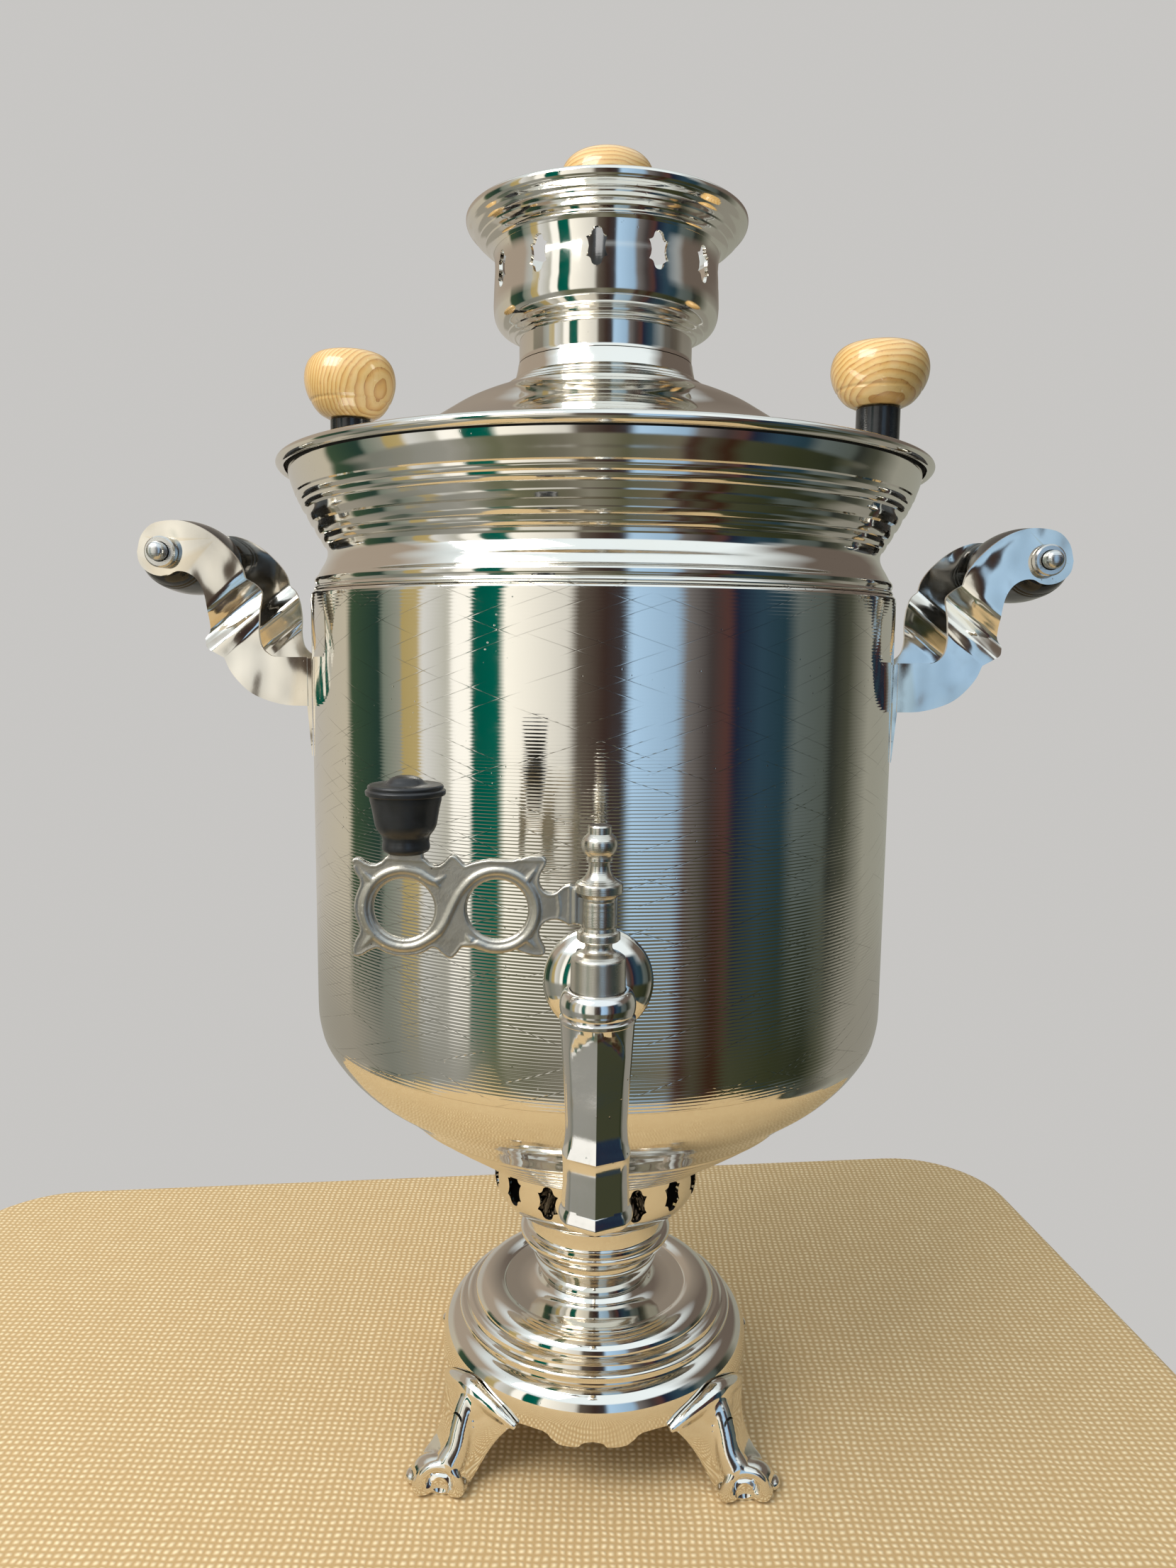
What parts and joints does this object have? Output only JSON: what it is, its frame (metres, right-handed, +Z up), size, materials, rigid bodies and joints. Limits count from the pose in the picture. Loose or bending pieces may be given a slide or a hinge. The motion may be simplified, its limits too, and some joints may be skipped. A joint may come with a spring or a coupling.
{
  "type": "charcoal samovar",
  "caption": "Can-shaped metal water boiler on a footed pedestal, with a fire tube, a lid, a pierced crown, side handles and a plug tap with a flat key.",
  "frame": {"origin": "on the table, under the middle of the object's outline (the body's axis stands 26.8 mm behind it, because the tap reaches forward)", "axes": "+Z up along the body's axis, -Y to the front where the tap is, +X to the right seen from the front"},
  "size_m": [0.3142, 0.2742, 0.451],
  "materials": {
    "nickel": "polished nickel plate over brass",
    "brushed_nickel": "turned, satin nickel",
    "cast_nickel": "satin casting, nickelled",
    "steel": "turned steel",
    "tinned_brass": "dull tinned brass",
    "cast_iron": "raw casting",
    "wood": "clear lacquer on pale wood",
    "black_plastic": "glossy black, turned",
    "rubber": "matt black"
  },
  "bodies": {
    "body": {"pedestal": "nickel", "foot_front_right": "nickel", "foot_rear_right": "nickel", "foot_rear_left": "nickel", "foot_front_left": "nickel", "foot_screw_front_right": "steel", "foot_screw_rear_right": "steel", "foot_screw_rear_left": "steel", "foot_screw_front_left": "steel", "vent_collar": "nickel", "reservoir_bottom": "nickel", "reservoir_wall": "nickel", "reservoir_top_ring": "nickel", "fire_tube": "tinned_brass", "handle_ear_left_front": "nickel", "handle_ear_left_rear": "nickel", "handle_ear_right_front": "nickel", "handle_ear_right_rear": "nickel", "grip_pin_left": "steel", "grip_pin_right": "steel", "grip_nut_left_front": "steel", "grip_nut_left_rear": "steel", "grip_nut_right_front": "steel", "grip_nut_right_rear": "steel", "tap_body": "nickel", "tap_rosette": "nickel", "tap_gasket": "rubber", "tap_nut": "brushed_nickel"},
    "grate": {"grate": "cast_iron"},
    "tap_plug": {"tap_plug": "brushed_nickel", "tap_key": "cast_nickel", "tap_key_knob": "black_plastic"},
    "lid": {"lid": "nickel", "lid_stem_right": "black_plastic", "lid_stem_left": "black_plastic", "lid_knob_right": "wood", "lid_knob_left": "wood", "lid_knob_screw_right": "steel", "lid_knob_screw_left": "steel", "steam_vent_bush": "brushed_nickel"},
    "steam_vent_cap": {"steam_vent_cap": "brushed_nickel"},
    "crown": {"crown": "nickel"},
    "flue_cap": {"flue_cap": "nickel", "flue_cap_stem": "black_plastic", "flue_cap_knob": "wood", "flue_cap_screw": "steel"},
    "grip_left": {"grip_left": "black_plastic"},
    "grip_right": {"grip_right": "black_plastic"}
  },
  "joints": [
    {"name": "tap_turn", "type": "hinge", "parent": "body", "child": "tap_plug", "pos_m": [0, -0.12816, 0.2], "axis": [0, 0, 1], "range_deg": [0, 180]},
    {"name": "lid_lift", "type": "slide", "parent": "body", "child": "lid", "axis": [0, 0, 1], "range_m": [0, 0.06]},
    {"name": "crown_lift", "type": "slide", "parent": "lid", "child": "crown", "axis": [0, 0, 1], "range_m": [0, 0.04]},
    {"name": "flue_cap_lift", "type": "slide", "parent": "crown", "child": "flue_cap", "axis": [0, 0, 1], "range_m": [0, 0.05]},
    {"name": "steam_vent_lift", "type": "slide", "parent": "lid", "child": "steam_vent_cap", "axis": [0, 0, 1], "range_m": [0, 0.012]},
    {"name": "grate_lift", "type": "slide", "parent": "body", "child": "grate", "axis": [0, 0, 1], "range_m": [0, 0.02]},
    {"name": "grip_left_turn", "type": "hinge", "parent": "body", "child": "grip_left", "pos_m": [-0.1445, 0.02684, 0.3166], "axis": [0, 1, 0], "continuous": true},
    {"name": "grip_right_turn", "type": "hinge", "parent": "body", "child": "grip_right", "pos_m": [0.1445, 0.02684, 0.3166], "axis": [0, 1, 0], "continuous": true}
  ]
}
